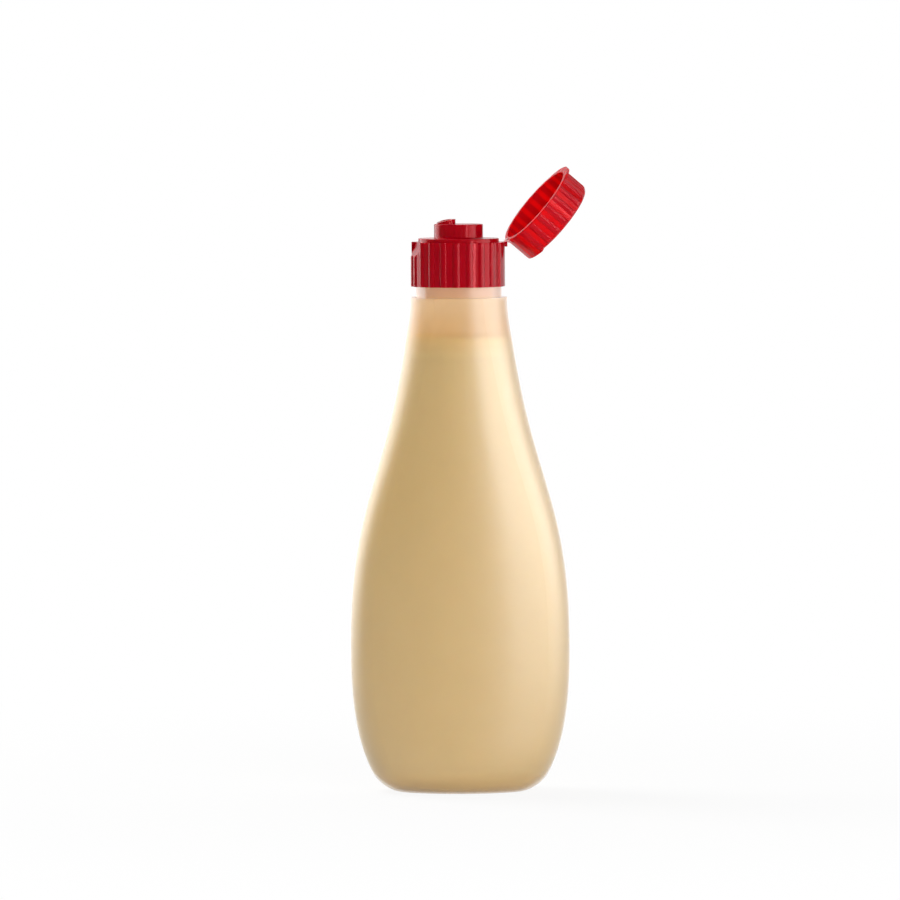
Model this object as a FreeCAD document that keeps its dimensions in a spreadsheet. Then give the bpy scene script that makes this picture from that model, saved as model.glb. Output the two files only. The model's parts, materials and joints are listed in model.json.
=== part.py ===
"""Mayonnaise squeeze bottle: a flat, pear-shaped bottle with a screwed-on cap and a hinged flip lid.

Millimetres, +Z up. The origin is the centre of the flat base, on the axis of the neck.
X runs across the broad side of the bottle, Y through its thin side.
"""
import FreeCAD, Part
import math
import os
import Sketcher

os.makedirs("parts", exist_ok=True)
doc = FreeCAD.newDocument("squeeze_bottle")

# ---------------------------------------------------------------- driving sizes

SIZES = {
    # bottle
    "ledge_height": 184.0,      # base to the flat ledge at the top of the body
    "body_width": 81.8,         # across the broad side, at the widest level
    "body_depth": 46.0,         # through the thin side, at the widest level
    "shoulder_radius": 17.8,    # the body is round here, under the ledge
    "side_radius": 16.5,        # rounding of the narrow sides, at the widest level
    "heel_reach": 8.6,          # the heel is a quarter of an oval, this far in from the wall
    "heel_height": 10.0,
    "bottle_wall": 1.0,
    "floor_wall": 1.6,
    "ledge_wall": 1.4,
    "collar_radius": 15.9,      # the part of the neck that shows under the cap
    "finish_radius": 14.0,      # the part of the neck inside the cap
    "neck_wall": 1.6,
    # contents
    "fill_height": 170.0,
    "fill_clearance": 0.1,
    # cap
    "cap_turn": 13.0,           # where the screwed cap stops, from the broad side
    "cap_gap": 4.0,             # ledge to the lower edge of the cap
    "skirt_radius": 17.8,
    "skirt_height": 16.4,
    "skirt_bore_clearance": 0.3,
    "collar_clearance": 0.2,
    "collar_cover": 3.0,        # how far the cap reaches down over the collar
    "deck_drop": 0.6,           # top of the skirt down to the sealing face
    "plateau_radius": 15.0,
    "plateau_rise": 1.4,
    "boss_radius": 9.1,
    "boss_rise": 5.3,
    "boss_wall": 1.3,
    "boss_root_rounding": 0.6,
    "boss_edge_rounding": 0.4,
    "plateau_edge_rounding": 0.3,
    "spout_radius": 3.5,
    "spout_offset": 4.7,        # from the cap's axis towards the thumb notch
    "spout_rise": 1.85,
    "spout_low_rise": 0.45,
    "spout_top_radius": 20.0,
    "outlet_radius": 2.2,
    "notch_radius": 7.3,        # the scoop under the lid's lip
    "notch_bite": 2.5,
    "notch_width": 13.6,
    # ribs, on cap and lid alike
    "rib_count": 22.0,          # places for a rib round the whole edge
    "rib_gap_count": 4.0,       # places left bare at the hinge
    "rib_radius": 1.7,
    "rib_height": 0.6,
    # lid
    "lid_inset": 0.9,           # from the skirt's radius to the lid's
    "lid_height": 11.0,
    "lid_gap": 0.15,            # lid to cap when shut
    "lid_bore_clearance": 0.6,  # lid to plateau when shut
    "lid_top_wall": 1.3,
    "lid_rounding": 2.2,
    "lid_bore_rounding": 1.0,
    "lid_opening": 130.0,       # from shut
    "rim_band": 0.5,
    "pad_half_angle": 40.0,
    "lip_radius": 13.7,
    "lip_reach": 1.4,
    "lip_thickness": 0.9,
    # living hinge
    "hinge_ledge_width": 7.0,
    "hinge_ledge_height": 1.8,
    "hinge_ledge_length": 5.0,
    "film_thickness": 0.3,
    "film_width": 1.8,
    "strap_width": 2.4,
    "strap_radius": 1.35,
    "strap_offset": 0.15,
    "strap_sweep": 146.0,
}

# Outline of the body above the heel: how high each level lies, as a share of the ledge's height,
# and how far it has swollen from the round shoulder (0) to the widest level (1).
SWELL_AT_BASE = 0.565
SWELL_AT_HEEL = 0.714
HEEL_STEPS = 4
LEVELS = [
    (0.135, 0.906),
    (0.208, 0.979),
    (0.297, 1.0),
    (0.428, 0.952),
    (0.5495, 0.790),
    (0.6707, 0.519),
    (0.792, 0.268),
    (0.913, 0.087),
    (1.0, 0.01),
]

sheet = doc.addObject("Spreadsheet::Sheet", "Sizes")


def add_size(row, alias, value):
    sheet.set("A%d" % row, alias)
    sheet.set("B%d" % row, repr(value))
    sheet.setAlias("B%d" % row, alias)


for row, (alias, value) in enumerate(SIZES.items(), start=1):
    add_size(row, alias, value)
doc.recompute()


def size(alias):
    return float(sheet.get(alias))


def bind(item, **expressions):
    """Bind properties to expressions; a double underscore in a name stands for a dot."""
    for name, text in expressions.items():
        item.setExpression(name.replace("__", "."), text)


# ---------------------------------------------------------------- expressions shared by the parts

HINGE_HEIGHT = "Sizes.ledge_height + Sizes.cap_gap + Sizes.skirt_height"
NECK_HEIGHT = "Sizes.cap_gap + Sizes.skirt_height - Sizes.deck_drop"
RIB_PITCH = "360 / Sizes.rib_count"
SKIRT_BORE = "Sizes.finish_radius + Sizes.skirt_bore_clearance"
COLLAR_BORE = "Sizes.collar_radius + Sizes.collar_clearance"
LID_BORE = "Sizes.plateau_radius + Sizes.lid_bore_clearance"
LID_RADIUS = "(Sizes.skirt_radius - Sizes.lid_inset)"
BOSS_TOP = "Sizes.plateau_rise + Sizes.boss_rise"


def swollen(full, swell):
    """A body measure at a level: between the shoulder's radius and its full value."""
    return "(Sizes.shoulder_radius + (%s - Sizes.shoulder_radius) * %r)" % (full, swell)


# ---------------------------------------------------------------- helpers

def new_body(name):
    body = doc.addObject("PartDesign::Body", name)
    body.Label = name
    return body


def plane(body, role):
    return next(o for o in body.Origin.OriginFeatures if o.Role == role)


def attach(item, body, role="XY_Plane"):
    item.AttachmentSupport = (plane(body, role), [""])
    item.MapMode = "FlatFace"


def new_sketch(body, name, role="XY_Plane", height=None):
    sketch = body.newObject("Sketcher::SketchObject", name)
    attach(sketch, body, role)
    if height:
        bind(sketch, AttachmentOffset__Base__z=height)
    return sketch


def limit(sketch, name, expression, kind, *where):
    """A named dimension of a sketch, bound to the sheet."""
    index = sketch.addConstraint(Sketcher.Constraint(kind, *where))
    sketch.renameConstraint(index, name)
    sketch.setExpression("Constraints." + name, expression)


def round_sketch(body, name, radius, height=None, left=None):
    """A circle, centred on the axis or a stated distance to the left of it."""
    sketch = new_sketch(body, name, height=height)
    circle = Part.Circle(FreeCAD.Vector(-1 if left else 0, 0, 0), FreeCAD.Vector(0, 0, 1), 5)
    sketch.addGeometry(circle)
    limit(sketch, "radius", radius, "Radius", 0, 5)
    if left:
        sketch.addConstraint(Sketcher.Constraint("PointOnObject", 0, 3, -1))
        limit(sketch, "left", left, "DistanceX", 0, 3, -1, 1, 1)
    else:
        sketch.addConstraint(Sketcher.Constraint("Coincident", 0, 3, -1, 1))
    return sketch


def cylinder(body, name, radius, length, bottom="0", cut=False, left="0", angle=None, turn=None):
    """An upright cylinder added to, or cut from, a body."""
    kind = "PartDesign::SubtractiveCylinder" if cut else "PartDesign::AdditiveCylinder"
    item = body.newObject(kind, name)
    attach(item, body)
    bind(item, Radius=radius, Height=length, AttachmentOffset__Base__z=bottom)
    bind(item, AttachmentOffset__Base__x="-(%s)" % left)
    if angle:
        item.AttachmentOffset = FreeCAD.Placement(
            FreeCAD.Vector(), FreeCAD.Rotation(FreeCAD.Vector(0, 0, 1), -10)
        )
        bind(item, Angle=angle, AttachmentOffset__Rotation__Angle=turn)
    return item


def pad(body, name, sketch, length, reverse=False, middle=False):
    item = body.newObject("PartDesign::Pad", name)
    item.Profile = sketch
    item.Reversed = reverse
    item.Midplane = middle
    bind(item, Length=length)
    return item


def edges_where(item, test):
    doc.recompute()
    return ["Edge%d" % (i + 1) for i, edge in enumerate(item.Shape.Edges) if test(edge)]


def level_edges(item, height, inside, outside):
    """Edges that lie flat at a height, between two distances from the axis."""
    def test(edge):
        box = edge.BoundBox
        reach = max(abs(box.XMin), abs(box.XMax), abs(box.YMin), abs(box.YMax))
        flat = abs(box.ZMin - height) < 0.01 and abs(box.ZMax - height) < 0.01
        return flat and inside < reach < outside
    return edges_where(item, test)


def fillet(body, name, base, edges, radius):
    item = body.newObject("PartDesign::Fillet", name)
    item.Base = (base, edges)
    bind(item, Radius=radius)
    return item


# ---------------------------------------------------------------- the body's oval section

def oval_sketch(body, name, swell, inset, height):
    """A level of the bottle, drawn inset from its outside: two flat arcs and two round sides."""
    shoulder = size("shoulder_radius")
    half_width = shoulder + (size("body_width") / 2 - shoulder) * swell
    half_depth = shoulder + (size("body_depth") / 2 - shoulder) * swell
    side = shoulder + (size("side_radius") - shoulder) * swell
    shift = half_width - side
    face = (shift ** 2 + half_depth ** 2 - side ** 2) / (2 * (half_depth - side))
    turn = math.acos(shift / (face - side))

    sketch = new_sketch(body, name, height=height)
    up = FreeCAD.Vector(0, 0, 1)
    arcs = [
        (FreeCAD.Vector(shift, 0, 0), side, -turn, turn),
        (FreeCAD.Vector(0, half_depth - face, 0), face, turn, math.pi - turn),
        (FreeCAD.Vector(-shift, 0, 0), side, math.pi - turn, math.pi + turn),
        (FreeCAD.Vector(0, face - half_depth, 0), face, math.pi + turn, 2 * math.pi - turn),
    ]
    for centre, radius, start, end in arcs:
        sketch.addGeometry(Part.ArcOfCircle(Part.Circle(centre, up, radius), start, end))
    crown = sketch.addGeometry(Part.Point(FreeCAD.Vector(0, half_depth, 0)), True)
    for a, b in ((0, 1), (1, 2), (2, 3), (3, 0)):
        sketch.addConstraint(Sketcher.Constraint("Tangent", a, 2, b, 1))
    sketch.addConstraint([
        Sketcher.Constraint("Equal", 0, 2),
        Sketcher.Constraint("Equal", 1, 3),
        Sketcher.Constraint("PointOnObject", 0, 3, -1),
        Sketcher.Constraint("PointOnObject", 2, 3, -1),
        Sketcher.Constraint("PointOnObject", 1, 3, -2),
        Sketcher.Constraint("PointOnObject", crown, 1, -2),
        Sketcher.Constraint("PointOnObject", crown, 1, 1),
    ])
    wide = swollen("Sizes.body_width / 2", swell)
    deep = swollen("Sizes.body_depth / 2", swell)
    round_side = swollen("Sizes.side_radius", swell)
    limit(sketch, "side", "%s - (%s)" % (round_side, inset), "Radius", 0, side)
    limit(sketch, "shift", "%s - %s" % (wide, round_side), "DistanceX", -1, 1, 0, 3, shift)
    limit(sketch, "deep", "%s - (%s)" % (deep, inset), "DistanceY", -1, 1, crown, 1, half_depth)
    return sketch


def body_form(body, name, inset, floor, ledge):
    """The bottle's outside, or its hollow: a loft through the heel and every level above it."""
    sketches = []
    for step in range(HEEL_STEPS + 1):
        turn = math.pi / 2 * step / HEEL_STEPS
        rise = 1 - math.cos(turn)
        swell = SWELL_AT_BASE + (SWELL_AT_HEEL - SWELL_AT_BASE) * rise
        reach = "%s + Sizes.heel_reach * %r" % (inset, 1 - math.sin(turn))
        height = "{0} + (Sizes.heel_height - {0}) * {1!r}".format(floor, rise)
        sketches.append(oval_sketch(body, "%s_heel_%d" % (name, step), swell, reach, height))
    for i, (rise, swell) in enumerate(LEVELS):
        height = ledge if rise == 1.0 else "Sizes.ledge_height * %r" % rise
        sketches.append(oval_sketch(body, "%s_level_%d" % (name, i), swell, inset, height))
    form = body.newObject("PartDesign::AdditiveLoft", name)
    form.Profile = sketches[0]
    form.Sections = sketches[1:]
    return form


# ---------------------------------------------------------------- bottle

def make_bottle():
    """Blow-moulded bottle: oval body, round ledge, and a neck that is open at the top."""
    outside = new_body("bottle_outside")
    body_form(outside, "outside", "0", "0", "Sizes.ledge_height")
    cylinder(
        outside, "collar", "Sizes.collar_radius",
        "Sizes.cap_gap + Sizes.collar_cover - Sizes.skirt_bore_clearance", "Sizes.ledge_height",
    )
    cylinder(outside, "finish", "Sizes.finish_radius", NECK_HEIGHT, "Sizes.ledge_height")

    hollow = new_body("bottle_hollow")
    body_form(
        hollow, "hollow", "Sizes.bottle_wall", "Sizes.floor_wall",
        "Sizes.ledge_height - Sizes.ledge_wall",
    )
    cylinder(
        hollow, "mouth", "Sizes.finish_radius - Sizes.neck_wall",
        "%s + 3 * Sizes.ledge_wall" % NECK_HEIGHT, "Sizes.ledge_height - 2 * Sizes.ledge_wall",
    )

    bottle = doc.addObject("Part::Cut", "bottle")
    bottle.Base = outside
    bottle.Tool = hollow
    return bottle


def make_mayonnaise():
    """The filling, up to its level; it lies against the wall of the bottle."""
    body = new_body("mayonnaise")
    body_form(
        body, "filling", "Sizes.bottle_wall + Sizes.fill_clearance", "Sizes.floor_wall",
        "Sizes.ledge_height - Sizes.ledge_wall",
    )
    cylinder(
        body, "above_filling", "Sizes.body_width", "Sizes.ledge_height - Sizes.fill_height",
        "Sizes.fill_height", cut=True,
    )
    return body


# ---------------------------------------------------------------- ribs

def add_ribs(body, radius, bottom, length):
    """Upright half-round ribs, evenly spaced, with the places at the hinge (+X) left bare."""
    name = body.Label
    sketch = round_sketch(
        body, name + "_rib_section", "Sizes.rib_radius", bottom, "%s - Sizes.rib_radius" % radius
    )
    sketch.AttachmentOffset = FreeCAD.Placement(
        FreeCAD.Vector(), FreeCAD.Rotation(FreeCAD.Vector(0, 0, 1), -10)
    )
    bind(
        sketch,
        AttachmentOffset__Rotation__Angle="180 + (Sizes.rib_gap_count + 1) / 2 * " + RIB_PITCH,
    )
    rib = pad(body, name + "_rib", sketch, length)
    ribs = body.newObject("PartDesign::PolarPattern", name + "_ribs")
    ribs.Originals = [rib]
    ribs.Axis = (plane(body, "Z_Axis"), [""])
    bind(
        ribs,
        Angle="(Sizes.rib_count - Sizes.rib_gap_count - 1) * " + RIB_PITCH,
        Occurrences="Sizes.rib_count - Sizes.rib_gap_count",
    )
    body.Tip = ribs
    return ribs


# ---------------------------------------------------------------- cap

def make_cap():
    """Moulded screw cap: ribbed skirt, raised deck, boss with a slanting spout, thumb notch.

    Its own frame has z = 0 at the top of the skirt and the hinge on +X.
    """
    body = new_body("cap_base")
    cylinder(
        body, "skirt", "Sizes.skirt_radius - Sizes.rib_height", "Sizes.skirt_height",
        "-Sizes.skirt_height",
    )
    add_ribs(body, "Sizes.skirt_radius", "-Sizes.skirt_height", "Sizes.skirt_height")
    hinge_ledge(body, "Sizes.skirt_radius", "-Sizes.hinge_ledge_height")
    plateau = cylinder(body, "plateau", "Sizes.plateau_radius", "Sizes.plateau_rise")
    edge = fillet(
        body, "plateau_edge", plateau,
        level_edges(plateau, size("plateau_rise"), 0, 100), "Sizes.plateau_edge_rounding",
    )
    boss = cylinder(body, "boss", "Sizes.boss_radius", "Sizes.boss_rise", "Sizes.plateau_rise")
    boss_top = size("plateau_rise") + size("boss_rise")
    reach = size("boss_radius") + 0.1
    top = fillet(
        body, "boss_edge", boss, level_edges(boss, boss_top, 0, reach),
        "Sizes.boss_edge_rounding",
    )
    root = fillet(
        body, "boss_root", top, level_edges(top, size("plateau_rise"), 0, reach),
        "Sizes.boss_root_rounding",
    )
    add_spout(body)
    cylinder(
        body, "bore", SKIRT_BORE, "Sizes.skirt_height - Sizes.deck_drop", "-Sizes.skirt_height",
        cut=True,
    )
    cylinder(
        body, "collar_bore", COLLAR_BORE, "Sizes.collar_cover", "-Sizes.skirt_height", cut=True
    )
    cylinder(
        body, "boss_hollow", "Sizes.boss_radius - Sizes.boss_wall",
        "%s + Sizes.deck_drop - Sizes.boss_wall" % BOSS_TOP, "-Sizes.deck_drop", cut=True,
    )
    cylinder(
        body, "outlet", "Sizes.outlet_radius", "%s + Sizes.spout_rise" % BOSS_TOP, "0", cut=True,
        left="Sizes.spout_offset",
    )
    add_notch(body)
    body.Placement = FreeCAD.Placement(
        FreeCAD.Vector(), FreeCAD.Rotation(FreeCAD.Vector(0, 0, 1), 10)
    )
    bind(body, Placement__Base__z=HINGE_HEIGHT, Placement__Rotation__Angle="Sizes.cap_turn")
    return body


def hinge_ledge(body, radius, bottom):
    """The straight ledge that the hinge films spring from, on cap and lid alike."""
    ledge = body.newObject("PartDesign::AdditiveBox", body.Label + "_hinge_ledge")
    attach(ledge, body)
    bind(
        ledge,
        Length="Sizes.hinge_ledge_length",
        Width="Sizes.hinge_ledge_width",
        Height="Sizes.hinge_ledge_height",
        AttachmentOffset__Base__x="%s - Sizes.hinge_ledge_length" % radius,
        AttachmentOffset__Base__y="-Sizes.hinge_ledge_width / 2",
        AttachmentOffset__Base__z=bottom,
    )
    return ledge


def add_spout(body):
    """A short round spout whose top falls away, in an arc, towards the thumb notch."""
    cylinder(
        body, "spout", "Sizes.spout_radius", "Sizes.spout_rise", BOSS_TOP,
        left="Sizes.spout_offset",
    )
    rise = size("spout_rise")
    low = size("spout_low_rise")
    radius = size("spout_top_radius")
    base = size("plateau_rise") + size("boss_rise")
    left = -size("spout_offset") - size("spout_radius")
    right = -size("spout_offset") + size("spout_radius")
    sketch = new_sketch(body, "spout_slope", "XZ_Plane")
    low_end = FreeCAD.Vector(left, base + low, 0)
    high_end = FreeCAD.Vector(right, base + rise, 0)
    corner = FreeCAD.Vector(left, base + rise, 0)
    chord = high_end - low_end
    depth = math.sqrt(radius ** 2 - (chord.Length / 2) ** 2)
    centre = (low_end + high_end) * 0.5 + FreeCAD.Vector(chord.y, -chord.x, 0).normalize() * depth
    from_angle, to_angle = (
        math.atan2(end.y - centre.y, end.x - centre.x) for end in (high_end, low_end)
    )
    circle = Part.Circle(centre, FreeCAD.Vector(0, 0, 1), radius)
    sketch.addGeometry(Part.ArcOfCircle(circle, from_angle, to_angle))
    sketch.addGeometry(Part.LineSegment(high_end, corner))
    sketch.addGeometry(Part.LineSegment(corner, low_end))
    sketch.addConstraint([
        Sketcher.Constraint("Coincident", 0, 1, 1, 1),
        Sketcher.Constraint("Coincident", 1, 2, 2, 1),
        Sketcher.Constraint("Coincident", 2, 2, 0, 2),
        Sketcher.Constraint("Horizontal", 1),
        Sketcher.Constraint("Vertical", 2),
    ])
    limit(sketch, "top_radius", "Sizes.spout_top_radius", "Radius", 0, radius)
    limit(sketch, "across", "2 * Sizes.spout_radius", "DistanceX", 1, 2, 1, 1, right - left)
    limit(
        sketch, "far_side", "Sizes.spout_offset + Sizes.spout_radius",
        "DistanceX", 2, 2, -1, 1, -left,
    )
    limit(sketch, "top", "%s + Sizes.spout_rise" % BOSS_TOP, "DistanceY", -1, 1, 1, 1, base + rise)
    limit(
        sketch, "low", "%s + Sizes.spout_low_rise" % BOSS_TOP,
        "DistanceY", -1, 1, 2, 2, base + low,
    )
    slope = body.newObject("PartDesign::Pocket", "spout_cut")
    slope.Profile = sketch
    slope.Midplane = True
    bind(slope, Length="2 * Sizes.spout_radius + 1")
    return slope


def add_notch(body):
    """The scoop, opposite the hinge, that lets a thumb under the lid's lip."""
    notch = body.newObject("PartDesign::SubtractiveCylinder", "thumb_notch")
    attach(notch, body, "XZ_Plane")
    bind(
        notch,
        Radius="Sizes.notch_radius",
        Height="Sizes.notch_width",
        AttachmentOffset__Base__x="-(Sizes.skirt_radius + Sizes.notch_radius - Sizes.notch_bite)",
        AttachmentOffset__Base__z="-Sizes.notch_width / 2",
    )
    return notch


# ---------------------------------------------------------------- lid

def make_lid():
    """Moulded flip lid: a ribbed cup with a rounded top, a plain pad at the hinge and a thumb lip.

    Its own frame is the cap's when it is shut. It is placed open, turned about the hinge's axis,
    which is level with the top of the skirt and as far out as the skirt's radius.
    """
    body = new_body("flip_lid")
    cylinder(
        body, "cup", LID_RADIUS + " - Sizes.rib_height", "Sizes.lid_height", "Sizes.lid_gap"
    )
    add_ribs(body, LID_RADIUS, "Sizes.lid_gap", "Sizes.lid_height")
    cylinder(body, "rim", LID_RADIUS, "Sizes.rim_band", "Sizes.lid_gap")
    round_top(body)
    cylinder(
        body, "hinge_pad", LID_RADIUS, "Sizes.lid_height", "Sizes.lid_gap",
        angle="2 * Sizes.pad_half_angle", turn="-Sizes.pad_half_angle",
    )
    hinge_ledge(body, LID_RADIUS, "Sizes.lid_gap")
    lip = round_sketch(
        body, "lip_outline", "Sizes.lip_radius", "Sizes.lid_gap",
        LID_RADIUS + " + Sizes.lip_reach - Sizes.lip_radius",
    )
    pad(body, "lip", lip, "Sizes.lip_thickness")
    bore = cylinder(
        body, "lid_bore", LID_BORE, "Sizes.lid_height - Sizes.lid_top_wall", "Sizes.lid_gap",
        cut=True,
    )
    ceiling = size("lid_gap") + size("lid_height") - size("lid_top_wall")
    fillet(
        body, "lid_bore_edge", bore, level_edges(bore, ceiling, 0, 100), "Sizes.lid_bore_rounding"
    )
    body.Placement = FreeCAD.Placement(FreeCAD.Vector(), FreeCAD.Rotation(10, 10, 0))
    swing = "Sizes.skirt_radius * (1 - cos(Sizes.lid_opening * 1deg))"
    body.setExpression(
        "Placement",
        "create(<<placement>>; create(<<vector>>; {s} * cos({t}); {s} * sin({t}); {z}); "
        "create(<<rotation>>; {t}; {o}; 0deg))".format(
            s=swing,
            t="(Sizes.cap_turn * 1deg)",
            o="(Sizes.lid_opening * 1deg)",
            z=HINGE_HEIGHT + " + Sizes.skirt_radius * sin(Sizes.lid_opening * 1deg)",
        ),
    )
    return body


def round_top(body):
    """Turn the corner between the ribbed wall and the top down to an arc."""
    radius = size("skirt_radius") - size("lid_inset")
    top = size("lid_gap") + size("lid_height")
    rounding = size("lid_rounding")
    spare = 1.0
    v = FreeCAD.Vector
    sketch = new_sketch(body, "top_corner", "XZ_Plane")
    centre = Part.Circle(v(radius - rounding, top - rounding, 0), v(0, 0, 1), rounding)
    sketch.addGeometry(Part.ArcOfCircle(centre, 0, math.pi / 2))
    corners = [
        v(radius - rounding, top, 0),
        v(radius - rounding, top + spare, 0),
        v(radius + spare, top + spare, 0),
        v(radius + spare, top - rounding, 0),
        v(radius, top - rounding, 0),
    ]
    for a, b in zip(corners, corners[1:]):
        sketch.addGeometry(Part.LineSegment(a, b))
    sketch.addConstraint([
        Sketcher.Constraint("Coincident", 0, 2, 1, 1),
        Sketcher.Constraint("Coincident", 1, 2, 2, 1),
        Sketcher.Constraint("Coincident", 2, 2, 3, 1),
        Sketcher.Constraint("Coincident", 3, 2, 4, 1),
        Sketcher.Constraint("Coincident", 4, 2, 0, 1),
        Sketcher.Constraint("Vertical", 1),
        Sketcher.Constraint("Horizontal", 2),
        Sketcher.Constraint("Vertical", 3),
        Sketcher.Constraint("Horizontal", 4),
        Sketcher.Constraint("Vertical", 0, 3, 0, 2),
        Sketcher.Constraint("Horizontal", 0, 3, 0, 1),
        Sketcher.Constraint("Distance", 1, spare),
        Sketcher.Constraint("Distance", 4, spare),
    ])
    limit(sketch, "rounding", "Sizes.lid_rounding", "Radius", 0, rounding)
    limit(sketch, "reach", LID_RADIUS, "DistanceX", -1, 1, 0, 1, radius)
    limit(sketch, "top", "Sizes.lid_gap + Sizes.lid_height", "DistanceY", -1, 1, 0, 2, top)
    groove = body.newObject("PartDesign::Groove", "rounded_top")
    groove.Profile = sketch
    groove.ReferenceAxis = (sketch, ["V_Axis"])
    groove.Angle = 360
    return groove


# ---------------------------------------------------------------- living hinge

def hinge_placement(item):
    """Put a piece, modelled about the hinge's axis, on the cap."""
    item.Placement = FreeCAD.Placement(FreeCAD.Vector(), FreeCAD.Rotation(10, 0, 0))
    bind(
        item,
        Placement__Base__x="Sizes.skirt_radius * cos(Sizes.cap_turn * 1deg)",
        Placement__Base__y="Sizes.skirt_radius * sin(Sizes.cap_turn * 1deg)",
        Placement__Base__z=HINGE_HEIGHT,
        Placement__Rotation__Angle="Sizes.cap_turn",
    )


def make_film(name, side):
    """One of the two thin films that join the ledges, straight from edge to edge."""
    body = new_body(name)
    film = body.newObject("PartDesign::AdditiveBox", name + "_strip")
    attach(film, body)
    film.AttachmentOffset = FreeCAD.Placement(
        FreeCAD.Vector(), FreeCAD.Rotation(FreeCAD.Vector(0, 1, 0), -10)
    )
    lean = "180deg - Sizes.lid_opening * 1deg - atan(Sizes.lid_gap / Sizes.lid_inset)"
    inner = "(Sizes.hinge_ledge_width / 2 - Sizes.film_width)"
    start = inner if side > 0 else "-Sizes.hinge_ledge_width / 2"
    bind(
        film,
        Length="sqrt(Sizes.lid_inset ^ 2 + Sizes.lid_gap ^ 2)",
        Width="Sizes.film_width",
        Height="Sizes.film_thickness",
        AttachmentOffset__Base__x="Sizes.film_thickness * sin(%s)" % lean,
        AttachmentOffset__Base__y=start,
        AttachmentOffset__Base__z="-Sizes.film_thickness * cos(%s)" % lean,
        AttachmentOffset__Rotation__Angle="-(%s)" % lean,
    )
    hinge_placement(body)
    return body


def make_strap(name):
    """The bowed strap in the middle of the hinge, which snaps the lid open and shut."""
    body = new_body(name)
    strap = body.newObject("PartDesign::AdditiveCylinder", name + "_bow")
    core = body.newObject("PartDesign::SubtractiveCylinder", name + "_inside")
    for item, radius in (
        (strap, "Sizes.strap_radius"),
        (core, "Sizes.strap_radius - Sizes.film_thickness"),
    ):
        attach(item, body, "XZ_Plane")
        item.AttachmentOffset = FreeCAD.Placement(
            FreeCAD.Vector(), FreeCAD.Rotation(FreeCAD.Vector(0, 0, 1), 180)
        )
        bind(
            item,
            Radius=radius,
            Height="Sizes.strap_width",
            AttachmentOffset__Base__x="Sizes.strap_radius",
            AttachmentOffset__Base__y="-Sizes.strap_offset",
            AttachmentOffset__Base__z="-Sizes.strap_width / 2",
        )
    bind(strap, Angle="Sizes.strap_sweep")
    hinge_placement(body)
    return body


# ---------------------------------------------------------------- build, check and write

parts = [
    make_bottle(),
    make_mayonnaise(),
    make_cap(),
    make_lid(),
    make_film("hinge_film_front", -1),
    make_film("hinge_film_back", 1),
    make_strap("hinge_strap"),
]
doc.recompute()

for item in doc.Objects:
    if "Invalid" in item.State or "Error" in item.State:
        raise RuntimeError("%s failed: %s" % (item.Name, item.State))
for part in parts:
    if part.Shape.isNull() or not part.Shape.isValid():
        raise RuntimeError("%s has no valid shape" % part.Label)
    part.Shape.exportStep("parts/%s.step" % part.Label)
    print("%-18s %d solid(s) %10.1f mm3" % (part.Label, len(part.Shape.Solids), part.Shape.Volume))
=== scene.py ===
import json
import math

import bpy
from mathutils import Matrix, Vector


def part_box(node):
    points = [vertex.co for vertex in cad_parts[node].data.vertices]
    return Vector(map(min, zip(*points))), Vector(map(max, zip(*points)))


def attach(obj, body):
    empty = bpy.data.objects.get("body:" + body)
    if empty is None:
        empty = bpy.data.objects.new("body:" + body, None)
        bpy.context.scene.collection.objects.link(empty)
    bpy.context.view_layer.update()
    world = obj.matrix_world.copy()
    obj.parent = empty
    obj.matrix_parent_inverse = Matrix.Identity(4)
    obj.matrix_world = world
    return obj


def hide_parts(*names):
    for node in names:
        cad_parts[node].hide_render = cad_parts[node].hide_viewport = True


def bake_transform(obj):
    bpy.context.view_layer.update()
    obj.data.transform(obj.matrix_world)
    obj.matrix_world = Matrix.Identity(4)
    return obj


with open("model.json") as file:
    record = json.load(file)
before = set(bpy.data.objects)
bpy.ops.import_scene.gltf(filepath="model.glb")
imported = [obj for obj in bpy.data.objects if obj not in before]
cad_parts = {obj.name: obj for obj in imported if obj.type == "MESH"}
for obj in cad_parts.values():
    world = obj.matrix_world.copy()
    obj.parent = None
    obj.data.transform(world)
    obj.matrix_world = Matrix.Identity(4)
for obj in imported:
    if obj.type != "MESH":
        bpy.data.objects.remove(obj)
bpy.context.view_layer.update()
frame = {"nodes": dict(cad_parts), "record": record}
scene = bpy.context.scene
scene.view_settings.view_transform = "Standard"


# ---------------------------------------------------------------- the mayonnaise
# A thick, smooth, pale cream that fills the bottle and stands against its wall.
# It is drawn a little way into the wall, so that no gap of air shows between the two.

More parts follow.
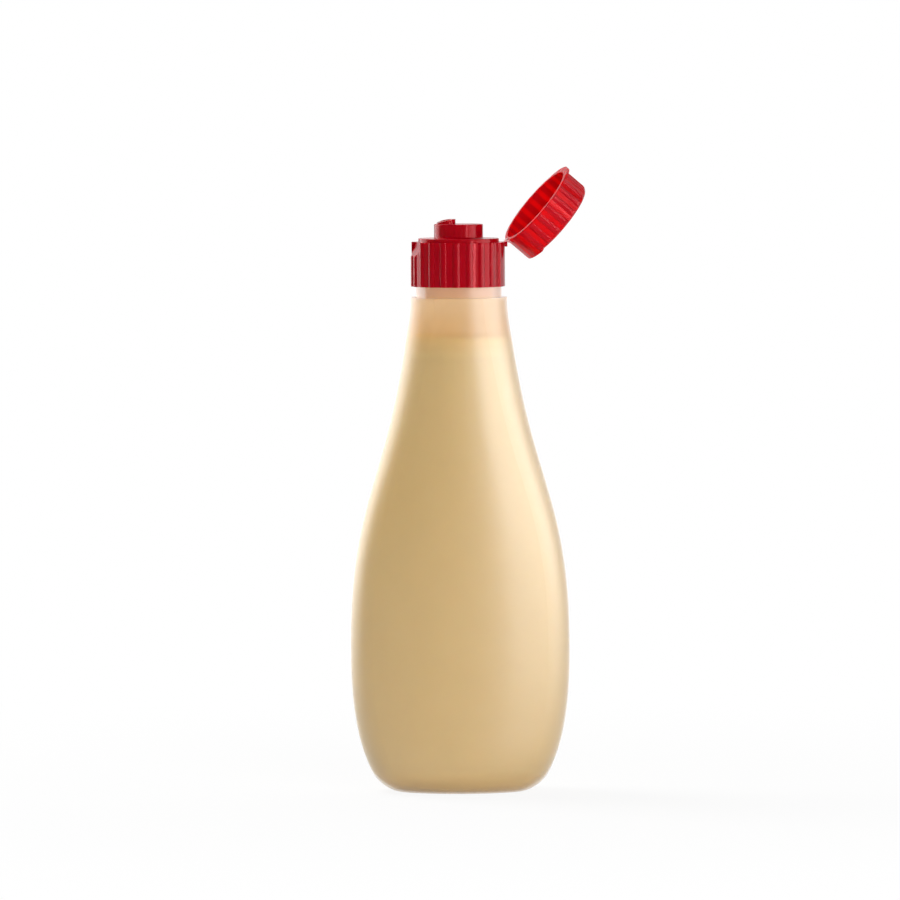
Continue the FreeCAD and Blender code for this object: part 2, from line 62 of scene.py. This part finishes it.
class Shade:
    """A shader socket that Python's operators work on, each adding its Math node."""

    def __init__(self, tree, socket=None):
        self.tree = tree
        self.socket = socket

    def node(self, kind, settings=None, values=None, output=0):
        """Add any other node: its settings first, then what goes into its sockets."""
        made = self.tree.nodes.new(kind)
        for name, value in (settings or {}).items():
            setattr(made, name, value)
        for name, value in (values or {}).items():
            if isinstance(value, Shade):
                self.tree.links.new(value.socket, made.inputs[name])
            else:
                made.inputs[name].default_value = value
        return Shade(self.tree, made.outputs[output] if made.outputs else None)

    def math(self, operation, *values):
        return self.node("ShaderNodeMath", {"operation": operation}, dict(enumerate(values)))

    def __add__(self, other):
        return self.math("ADD", self, other)

    def __radd__(self, other):
        return self.math("ADD", other, self)

    def __sub__(self, other):
        return self.math("SUBTRACT", self, other)

    def __rsub__(self, other):
        return self.math("SUBTRACT", other, self)

    def __mul__(self, other):
        return self.math("MULTIPLY", self, other)

    def __rmul__(self, other):
        return self.math("MULTIPLY", other, self)

    def clip(self, low, high):
        """0 below low, 1 above high, and a smooth step between them."""
        return self.node(
            "ShaderNodeMapRange",
            {"interpolation_type": "SMOOTHSTEP"},
            {"Value": self, "From Min": low, "From Max": high},
        )

    def mix(self, first, second):
        """A colour between two, by this value."""
        return self.node(
            "ShaderNodeMix", {"data_type": "RGBA"}, {0: self, 6: first, 7: second}, output=2
        )

    def noise(self, scale, detail=2.0, roughness=0.5):
        return self.node(
            "ShaderNodeTexNoise", None,
            {"Vector": self, "Scale": scale, "Detail": detail, "Roughness": roughness},
        )


def new_material(name):
    """An empty material, with its tree wrapped and its object coordinates."""
    material = bpy.data.materials.new(name)
    material.use_nodes = True
    material.node_tree.nodes.clear()
    tree = Shade(material.node_tree)
    place = tree.node("ShaderNodeTexCoord", output=3)
    return material, tree, place


def wear(material, shader):
    """Send the finished shader to the material's output."""
    shader.node("ShaderNodeOutputMaterial", None, {"Surface": shader})
    return material


mayonnaise_into_wall = 0.0007
mayonnaise_into_floor = 0.0004
mayonnaise_sides = 112
mayonnaise_rings = 46
mayonnaise_heel = 0.0100
heel_rings = 10
mayonnaise_top_edge = 0.0006
outside_the_bottle = 0.052
mid_height = 0.1
# The top from its edge inwards: how far in each step goes, and how far it rises or sinks.
top_swell = ((0.0012, 0.0005), (0.0030, -0.0010), (0.0060, -0.0006), (0.0050, 0.0004))
mayonnaise_low, mayonnaise_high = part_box("mayonnaise")

levels = [
    mayonnaise_low.z + mayonnaise_heel * (1 - math.cos(math.radians(90 * k / heel_rings)))
    for k in range(1, heel_rings + 1)
]
spread = mayonnaise_high.z - mayonnaise_top_edge - levels[-1]
levels += [levels[-1] + spread * (k + 1) / mayonnaise_rings for k in range(mayonnaise_rings)]
bottom = mayonnaise_low.z + 0.00004

bpy.ops.object.select_all(action="DESELECT")
bpy.ops.mesh.primitive_cylinder_add(
    vertices=mayonnaise_sides, radius=outside_the_bottle, depth=levels[-1] - bottom,
    end_fill_type="NOTHING", location=(0, 0, (levels[-1] + bottom) / 2),
)
mayonnaise = bpy.context.object
mayonnaise.name = "mayonnaise_filling"
bpy.ops.object.transform_apply(location=True, rotation=True, scale=True)
bpy.ops.object.mode_set(mode="EDIT")
for level in levels[:-1]:
    bpy.ops.mesh.select_all(action="SELECT")
    bpy.ops.mesh.bisect(plane_co=(0, 0, level), plane_no=(0, 0, 1))
bpy.ops.object.mode_set(mode="OBJECT")
wrap = mayonnaise.modifiers.new("against_the_wall", "SHRINKWRAP")
wrap.target = frame["nodes"]["mayonnaise"]
wrap.wrap_method = "PROJECT"
wrap.use_positive_direction = False
wrap.use_negative_direction = True
bpy.ops.object.modifier_apply(modifier=wrap.name)
bpy.ops.object.mode_set(mode="EDIT")
bpy.ops.mesh.select_all(action="DESELECT")
bpy.ops.mesh.select_mode(type="EDGE")
bpy.ops.mesh.select_non_manifold(extend=False)
bpy.ops.mesh.edge_face_add()
bpy.ops.mesh.select_all(action="SELECT")
bpy.ops.mesh.normals_make_consistent(inside=False)
bpy.ops.mesh.select_mode(type="FACE")
bpy.ops.mesh.select_all(action="DESELECT")
bpy.ops.object.mode_set(mode="OBJECT")
for face in mayonnaise.data.polygons:
    face.select = abs(face.normal.z) < 0.9 or face.center.z < mid_height
bpy.ops.object.mode_set(mode="EDIT")
bpy.ops.transform.shrink_fatten(value=mayonnaise_into_wall)
bpy.ops.mesh.select_all(action="DESELECT")
bpy.ops.object.mode_set(mode="OBJECT")
for face in mayonnaise.data.polygons:
    face.select = face.normal.z < -0.97
bpy.ops.object.mode_set(mode="EDIT")
bpy.ops.transform.translate(value=(0, 0, -mayonnaise_into_floor))
bpy.ops.mesh.select_all(action="DESELECT")
bpy.ops.object.mode_set(mode="OBJECT")
for face in mayonnaise.data.polygons:
    face.select = face.normal.z > 0.9 and face.center.z > mid_height
bpy.ops.object.mode_set(mode="EDIT")
for width, rise in top_swell:
    bpy.ops.mesh.inset(thickness=width)
    bpy.ops.transform.translate(value=(0, 0, rise))
bpy.ops.mesh.poke()
bpy.ops.object.mode_set(mode="OBJECT")
bpy.ops.object.shade_smooth_by_angle(angle=math.radians(50))

cream, tree, place = new_material("mayonnaise_cream")
streaks = place.noise(34.0, 3.0)
specks = place.noise(420.0, 1.0)
body = (streaks * 0.8 + specks * 0.2).mix((0.830, 0.550, 0.190, 1), (0.880, 0.605, 0.230, 1))
ripple = tree.node(
    "ShaderNodeBump", None,
    {"Strength": 0.12, "Distance": 0.0004, "Height": place.noise(260.0, 2.0)},
)
wear(cream, tree.node("ShaderNodeBsdfPrincipled", None, {
    "Base Color": body,
    "Roughness": 0.42 + specks * 0.12,
    "Subsurface Weight": 0.35,
    "Subsurface Radius": (1.0, 0.62, 0.30),
    "Subsurface Scale": 0.004,
    "Normal": ripple,
}))
mayonnaise.data.materials.append(cream)
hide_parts("mayonnaise")
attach(mayonnaise, "bottle")


# ---------------------------------------------------------------- the bottle
# Blow-moulded from a milky, half-clear polyethylene with a satin skin, clearer at its neck.
# Above the filling, the inside of its wall keeps a thin coat of mayonnaise, and the wall's colour
# there is painted brighter: a painted glow of the light that shines through the wall.

bottle = frame["nodes"]["bottle"]
ledge_height = 0.184
fill_height = mayonnaise_high.z

plastic, tree, place = new_material("milky_polyethylene")
height = place.node("ShaderNodeSeparateXYZ", None, {"Vector": place}, output=2)
above_fill = height.clip(fill_height - 0.010, fill_height + 0.005)
below_line = height.clip(fill_height - 0.009, fill_height)
over_line = height.clip(fill_height, fill_height + 0.012)
fill_line = below_line - over_line
at_neck = height.clip(ledge_height - 0.0010, ledge_height + 0.0016)
cloud = place.noise(60.0, 2.0)
grain = place.noise(2600.0, 1.0)
# Above the filling the wall's colour is painted brighter and more orange, a painted glow of light
# shining through the wall.
wall_tone_with_painted_glow = above_fill.mix((0.850, 0.600, 0.285, 1), (1.000, 0.670, 0.280, 1))
# Near the base the wall is painted warmer and milkier: painted light bounced up from the table,
# which also covers the shade at the heel.
painted_bounce_at_base = 1 - height.clip(0.001, 0.011)
tint = at_neck.mix(painted_bounce_at_base.mix(wall_tone_with_painted_glow, (0.920, 0.590, 0.220, 1)), (1.00, 0.50, 0.30, 1))
outside = 1 - tree.node("ShaderNodeNewGeometry", output="Backfacing")
milkiness = 0.46 + cloud * 0.05 + above_fill * 0.26 + fill_line * 0.14
milkiness = milkiness + at_neck * 0.04 + painted_bounce_at_base * 0.30
milk = outside * milkiness
skin_bump = tree.node(
    "ShaderNodeBump", None, {"Strength": 0.10, "Distance": 0.00005, "Height": grain}
)
milky = tree.node("ShaderNodeBsdfPrincipled", None, {
    "Base Color": tint,
    "Roughness": 0.45,
    "Specular IOR Level": 0.0,
    "Normal": skin_bump,
})
passed_on = tree.node("ShaderNodeBsdfTranslucent", None, {"Color": (1.00, 0.75, 0.38, 1)})
milky = tree.node(
    "ShaderNodeMixShader", None, {0: 0.10 + above_fill * 0.55, 1: milky, 2: passed_on}
)
clear = tree.node("ShaderNodeBsdfTransparent", None, {"Color": (1, 1, 1, 1)})
wall = tree.node("ShaderNodeMixShader", None, {0: milk, 1: clear, 2: milky})
gloss = tree.node("ShaderNodeBsdfGlossy", None, {
    "Color": (1, 1, 1, 1), "Roughness": 0.40 + cloud * 0.04, "Normal": skin_bump,
})
sheen = tree.node("ShaderNodeFresnel", None, {"IOR": 1.8, "Normal": skin_bump}) * outside
wear(plastic, tree.node("ShaderNodeMixShader", None, {0: sheen, 1: wall, 2: gloss}))
bottle.data.materials[0] = plastic


# ---------------------------------------------------------------- the cap
# Moulded from red polypropylene that lets some light through: a ribbed skirt that is screwed
# on, and a boss with a short spout.

flutes = 22


def red_plastic(name, reds, glow, passed, centre, out, across, wall_radius):
    """Red polypropylene between two reds. It passes a share of the light, in stripes that follow the
    flutes of a round wall, where the wall is by turns thin and thick, and on the thin stripes its
    colour is painted the brighter red as well: a painted glow of that light."""
    material, tree, place = new_material(name)
    flow = place.noise(180.0, 2.0)
    fine = place.noise(2200.0, 1.0)
    offset = tree.node("ShaderNodeVectorMath", {"operation": "SUBTRACT"}, {0: place, 1: centre})
    ahead, aside = (
        tree.node(
            "ShaderNodeVectorMath", {"operation": "DOT_PRODUCT"}, {0: offset, 1: way}, output=1
        )
        for way in (out, across)
    )
    radius = tree.math("SQRT", ahead * ahead + aside * aside)
    at_wall = radius.clip(wall_radius - 0.0008, wall_radius - 0.0002)
    thin = tree.math("COSINE", tree.math("ARCTAN2", aside, ahead) * flutes).clip(-0.4, 0.9)
    thin = thin * at_wall
    skin = tree.node(
        "ShaderNodeBump", None, {"Strength": 0.08, "Distance": 0.00004, "Height": fine}
    )
    # The colour varies at random with the flow, and is painted brighter on the thin stripes, a
    # painted glow of light through the wall.
    moulded = tree.node("ShaderNodeBsdfPrincipled", None, {
        "Base Color": (flow * 0.5 + thin * 0.5).mix(reds[0], reds[1]),
        "Roughness": 0.12 + flow * 0.08,
        "IOR": 1.49,
        "Specular IOR Level": 0.42,
        "Specular Tint": (1.0, 0.24, 0.26, 1),
        "Subsurface Weight": 0.3,
        "Subsurface Radius": (1.0, 0.05, 0.05),
        "Subsurface Scale": 0.0020,
        "Normal": skin,
    })
    through = tree.node("ShaderNodeBsdfTranslucent", None, {"Color": glow})
    share = passed[0] + thin * (passed[1] - passed[0])
    return wear(material, tree.node("ShaderNodeMixShader", None, {0: share, 1: moulded, 2: through}))


cap = frame["nodes"]["cap_base"]
cap_turn = math.radians(13)
cap_wall = 0.0172
cap_out = Vector((math.cos(cap_turn), math.sin(cap_turn), 0))
cap_across = Vector((-math.sin(cap_turn), math.cos(cap_turn), 0))
cap.data.materials[0] = red_plastic(
    "red_polypropylene_cap",
    ((0.47, 0.0005, 0.0100, 1), (0.68, 0.0012, 0.0150, 1)),
    (0.85, 0.0040, 0.0150, 1), (0.18, 0.30),
    (0, 0, 0), cap_out, cap_across, cap_wall,
)


# ---------------------------------------------------------------- the flip lid
# A shallow ribbed cup of the same red plastic, thin enough to glow from within: it passes more light
# than the cap, and its reds are painted brighter than the cap's, a painted glow.
# It hangs on the cap by a living hinge and has a lip for the thumb opposite it.

lid = frame["nodes"]["flip_lid"]
lid_open = math.radians(130)
lid_reach = 0.0178
lid_wall = 0.0156
hinge = Vector(frame["record"]["behaviour"]["joints"][0]["pos_m"])
lid_tip = Matrix.Rotation(cap_turn, 3, "Z") @ Matrix.Rotation(lid_open, 3, "Y")
lid_centre = hinge + lid_tip @ Vector((-lid_reach, 0, 0))
# Brighter reds than the cap's: a painted glow of the light through the lid's thin wall.
lid.data.materials[0] = red_plastic(
    "red_polypropylene_lid",
    ((0.54, 0.0060, 0.0240, 1), (0.80, 0.0240, 0.0360, 1)),
    (1.00, 0.0350, 0.0380, 1), (0.34, 0.66),
    lid_centre, lid_tip @ Vector((1, 0, 0)), lid_tip @ Vector((0, 1, 0)), lid_wall,
)


# ---------------------------------------------------------------- the living hinge
# Two thin films join the cap's ledge to the lid's, and a bowed strap between them snaps the
# lid open. All are moulded in one with both halves and stretched pale where they bend.

def soften(piece, width):
    """Round a thin piece's edges a little and smooth its shading."""
    soft_edge = piece.modifiers.new("soft_edge", "BEVEL")
    soft_edge.width = width
    soft_edge.segments = 2
    soft_edge.limit_method = "ANGLE"
    soft_edge.angle_limit = math.radians(50)
    bpy.ops.object.modifier_apply(modifier=soft_edge.name)
    bpy.ops.object.shade_smooth_by_angle(angle=math.radians(50))


hinge_to_world = Matrix.Translation(hinge) @ Matrix.Rotation(cap_turn, 4, "Z")
film_reach, film_rise = 0.000694, 0.000593
film_length = math.hypot(film_reach, film_rise)
film_lean = math.atan2(film_rise, film_reach)
film_overlap = 0.00012
film_width = 0.0018
film_thickness = 0.00024
film_drop = 0.00014
film_middle = 0.0026
film_steps = 10
waist_narrowing, waist_thinning = 0.10, 0.35
strap_width = 0.0024
strap_radius = 0.00135
strap_thickness = 0.00028
strap_offset = 0.00015
strap_sweep = math.radians(146)
strap_steps = 28

bpy.ops.object.select_all(action="DESELECT")
bpy.ops.mesh.primitive_cube_add(size=1, location=(film_length / 2, 0, -film_drop))
front_film = bpy.context.object
front_film.name = "living_hinge_front"
bpy.ops.transform.resize(value=(film_length + 2 * film_overlap, film_width, film_thickness))
bpy.ops.object.transform_apply(location=True, rotation=True, scale=True)
bpy.ops.object.mode_set(mode="EDIT")
for step in range(1, film_steps):
    bpy.ops.mesh.select_all(action="SELECT")
    bpy.ops.mesh.bisect(plane_co=(film_length * step / film_steps, 0, 0), plane_no=(1, 0, 0))
bpy.ops.mesh.select_mode(type="VERT")
for step in range(1, film_steps):
    bpy.ops.mesh.select_all(action="DESELECT")
    bpy.ops.object.mode_set(mode="OBJECT")
    for corner in front_film.data.vertices:
        corner.select = abs(corner.co.x - film_length * step / film_steps) < 0.00001
    bpy.ops.object.mode_set(mode="EDIT")
    waist = math.sin(math.pi * step / film_steps)
    bpy.ops.transform.resize(
        value=(1, 1 - waist_narrowing * waist, 1 - waist_thinning * waist),
        center_override=(film_length * step / film_steps, 0, -film_drop),
    )
bpy.ops.object.mode_set(mode="OBJECT")
soften(front_film, 0.00004)

bpy.ops.object.duplicate()
back_film = bpy.context.object
back_film.name = "living_hinge_back"
lean = Matrix.Rotation(-film_lean, 4, "Y")
for film, side in ((front_film, -1), (back_film, 1)):
    film.matrix_world = hinge_to_world @ Matrix.Translation((0, side * film_middle, 0)) @ lean
    bpy.ops.object.select_all(action="DESELECT")
    film.select_set(True)
    bpy.context.view_layer.objects.active = film
    bpy.ops.object.transform_apply(location=True, rotation=True, scale=True)

bpy.ops.object.select_all(action="DESELECT")
bpy.ops.mesh.primitive_plane_add(
    size=1, location=(strap_thickness / 2, 0, -strap_offset), rotation=(0, 0, 0)
)
strap = bpy.context.object
strap.name = "living_hinge_strap"
bpy.ops.transform.resize(value=(strap_thickness, strap_width, 1))
bpy.ops.object.transform_apply(location=True, rotation=True, scale=True)
bpy.ops.object.mode_set(mode="EDIT")
bpy.ops.mesh.select_all(action="SELECT")
bpy.ops.mesh.spin(
    steps=strap_steps, angle=-strap_sweep,
    center=(strap_radius, 0, -strap_offset), axis=(0, 1, 0),
)
bpy.ops.mesh.select_all(action="SELECT")
bpy.ops.mesh.remove_doubles(threshold=0.000001)
bpy.ops.mesh.normals_make_consistent(inside=False)
bpy.ops.object.mode_set(mode="OBJECT")
soften(strap, 0.00005)
strap.matrix_world = hinge_to_world
bpy.ops.object.transform_apply(location=True, rotation=True, scale=True)

pale_red, tree, place = new_material("stretched_polypropylene")
stretch = place.noise(900.0, 2.0)
pale = tree.node("ShaderNodeBsdfPrincipled", None, {
    "Base Color": stretch.mix((0.80, 0.36, 0.36, 1), (0.90, 0.60, 0.58, 1)),
    "Roughness": 0.26 + stretch * 0.10,
    "Normal": tree.node(
        "ShaderNodeBump", None, {"Strength": 0.1, "Distance": 0.00003, "Height": stretch}
    ),
})
thin = tree.node("ShaderNodeBsdfTranslucent", None, {"Color": (0.95, 0.62, 0.60, 1)})
wear(pale_red, tree.node("ShaderNodeMixShader", None, {0: 0.4, 1: pale, 2: thin}))
film_end = hinge_to_world @ Vector((film_reach, 0, film_rise))
strap_end = hinge_to_world @ Vector((
    strap_radius - strap_radius * math.cos(strap_sweep),
    0,
    -strap_offset - strap_radius * math.sin(strap_sweep),
))
for piece, node, end in (
    (front_film, "hinge_film_front", film_end),
    (back_film, "hinge_film_back", film_end),
    (strap, "hinge_strap", strap_end),
):
    piece.data.materials.append(pale_red)
    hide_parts(node)
    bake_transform(piece)


# ---------------------------------------------------------------- floor, light and camera
# A white table that runs on into a white studio, bright behind the bottle and dim in front.
# Two soft lights shade the bottle, and a panel and a strip on the right and a panel behind on
# the left show only in its gloss.

bpy.ops.mesh.primitive_circle_add(vertices=96, radius=6.0, fill_type="NGON", location=(0, 0, 0))
floor = bpy.context.object
floor.name = "table_top"
white, tree, place = new_material("white_table")
camera_ray, glossy_ray, transmission_ray = (
    tree.node("ShaderNodeLightPath", output=f"Is {kind} Ray")
    for kind in ("Camera", "Glossy", "Transmission")
)
seen = (camera_ray + glossy_ray + transmission_ray).clip(0.0, 1.0)
paper = tree.node("ShaderNodeBsdfDiffuse", None, {"Color": (0.80, 0.80, 0.80, 1)})
shine = tree.node("ShaderNodeEmission", None, {"Color": (1, 1, 1, 1), "Strength": 1.0})
from_bottle = tree.node(
    "ShaderNodeVectorMath", {"operation": "LENGTH"}, {0: place}, output=1
)
bare = 0.91 + from_bottle.clip(0.06, 0.40) * 0.09
lit = tree.node("ShaderNodeMixShader", None, {0: bare, 1: paper, 2: shine})
grey = tree.node("ShaderNodeBsdfDiffuse", None, {"Color": (0.46, 0.46, 0.46, 1)})
wear(white, tree.node("ShaderNodeMixShader", None, {0: seen, 1: grey, 2: lit}))
floor.data.materials.append(white)

world = bpy.data.worlds.new("studio")
world.use_nodes = True
world.node_tree.nodes.clear()
scene.world = world
tree = Shade(world.node_tree)
direction = tree.node("ShaderNodeTexCoord", output=0)
backwards = tree.node("ShaderNodeSeparateXYZ", None, {"Vector": direction}, output=1)
camera_ray = tree.node("ShaderNodeLightPath", output="Is Camera Ray")
level = 0.03 + backwards.clip(0.10, 0.42) * 0.97
level = level + camera_ray * (1 - level)
studio = tree.node("ShaderNodeBackground", None, {"Color": (1, 1, 1, 1), "Strength": level})
tree.node("ShaderNodeOutputWorld", None, {"Surface": studio})


def soft_light(name, azimuth, distance, height, width, tall, watts):
    """A square studio light that faces the bottle. Azimuth 0 is the camera's side."""
    lamp = bpy.data.lights.new(name, "AREA")
    lamp.shape = "RECTANGLE"
    lamp.size, lamp.size_y = width, tall
    lamp.energy = watts
    item = bpy.data.objects.new(name, lamp)
    scene.collection.objects.link(item)
    turn = math.radians(azimuth)
    item.location = (distance * math.sin(turn), -distance * math.cos(turn), height)
    aim = Vector((0, 0, 0.12)) - item.location
    item.rotation_euler = aim.to_track_quat("-Z", "Y").to_euler()
    return item


for name, azimuth, distance, height, width, tall, watts in (
    ("front_light", 21, 1.6, 0.50, 0.90, 0.90, 15.5),
    ("lid_light", -120, 0.8, 1.30, 0.60, 0.60, 15.0),
):
    soft_light(name, azimuth, distance, height, width, tall, watts).visible_glossy = False
for name, azimuth, distance, height, width, tall, watts in (
    ("side_panel", 78, 1.1, 0.20, 1.12, 1.50, 28.5),
    ("side_strip", 40, 1.3, 0.20, 0.06, 1.50, 11.0),
    ("edge_panel", -124, 1.0, 0.20, 0.72, 1.30, 6.5),
):
    soft_light(name, azimuth, distance, height, width, tall, watts).visible_diffuse = False

lens = bpy.data.cameras.new("camera")
camera = bpy.data.objects.new("camera", lens)
scene.collection.objects.link(camera)
scene.camera = camera
camera_distance = 2.894
camera_height = 0.297
view_width = 0.3338
aim_point = Vector((-0.0035, 0, 0.1271))
lens.sensor_width = 36
lens.lens = lens.sensor_width * camera_distance / view_width
lens.clip_start, lens.clip_end = 0.1, 50
camera.location = (aim_point.x, -camera_distance, camera_height)
look = (aim_point - camera.location).to_track_quat("-Z", "Y").to_matrix().to_4x4()
camera_roll = Matrix.Rotation(math.radians(-0.25), 4, "Z")
camera.matrix_world = Matrix.Translation(camera.location) @ look @ camera_roll
